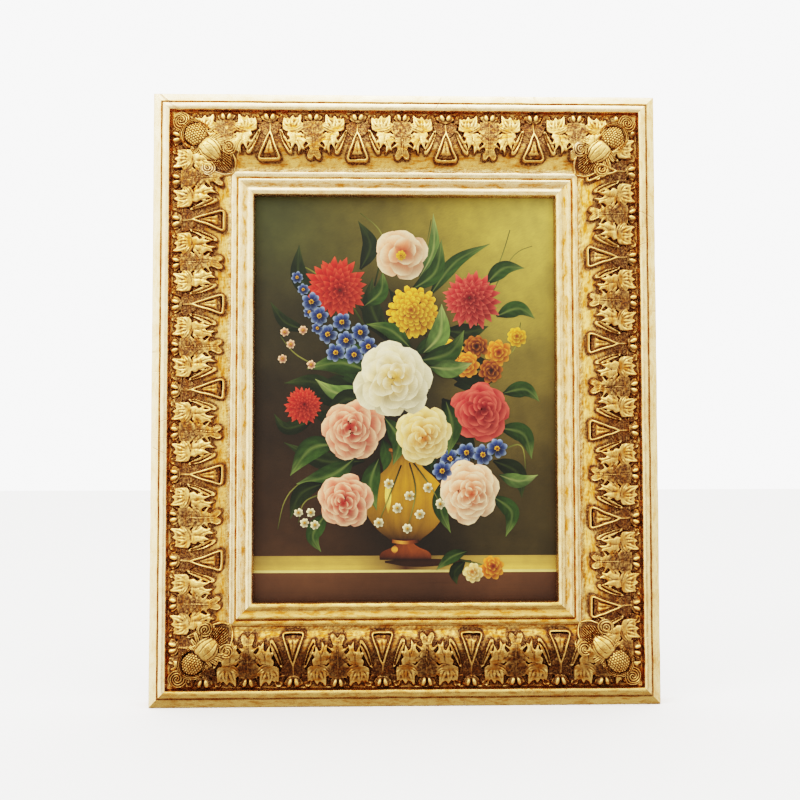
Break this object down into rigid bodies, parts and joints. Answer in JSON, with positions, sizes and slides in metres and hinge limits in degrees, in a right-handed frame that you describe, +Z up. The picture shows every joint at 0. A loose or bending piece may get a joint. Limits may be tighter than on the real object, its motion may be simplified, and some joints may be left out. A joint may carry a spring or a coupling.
{
  "type": "framed panel painting",
  "caption": "Upright still life on a flat board in a wide carved and gilded frame, with leaf and loop ornament, raised corners and a sawtooth hanger.",
  "frame": {"origin": "centre of the hanger's outer flat face, where it meets the wall, on the frame's vertical centre line and 30 mm below its top edge", "axes": "+Z up along the frame's height, +Y back towards the wall, +X to the viewer's right; the painting faces -Y"},
  "size_m": [0.488, 0.0473, 0.589],
  "materials": {
    "gilt_wood": "gold leaf over red-brown ground, burnished on the bands, with brown stain in the hollows",
    "gilt_ornament": "moulded composition, gilded, stained dark in the hollows and rubbed bright on the high points",
    "painted_board": "oil paint with a soft varnish sheen on the front, bare board at the back",
    "zinc_steel": "zinc plated, dull"
  },
  "bodies": {
    "root": {"top_rail": "gilt_wood", "bottom_rail": "gilt_wood", "left_rail": "gilt_wood", "right_rail": "gilt_wood", "corner_ornament_top_left": "gilt_ornament", "corner_ornament_top_right": "gilt_ornament", "corner_ornament_bottom_left": "gilt_ornament", "corner_ornament_bottom_right": "gilt_ornament", "painted_panel": "painted_board", "framing_point_1": "zinc_steel", "framing_point_2": "zinc_steel", "framing_point_3": "zinc_steel", "framing_point_4": "zinc_steel", "framing_point_5": "zinc_steel", "framing_point_6": "zinc_steel", "framing_point_7": "zinc_steel", "framing_point_8": "zinc_steel", "framing_point_9": "zinc_steel", "framing_point_10": "zinc_steel", "sawtooth_hanger": "zinc_steel", "hanger_nail_left": "zinc_steel", "hanger_nail_right": "zinc_steel"}
  },
  "joints": []
}
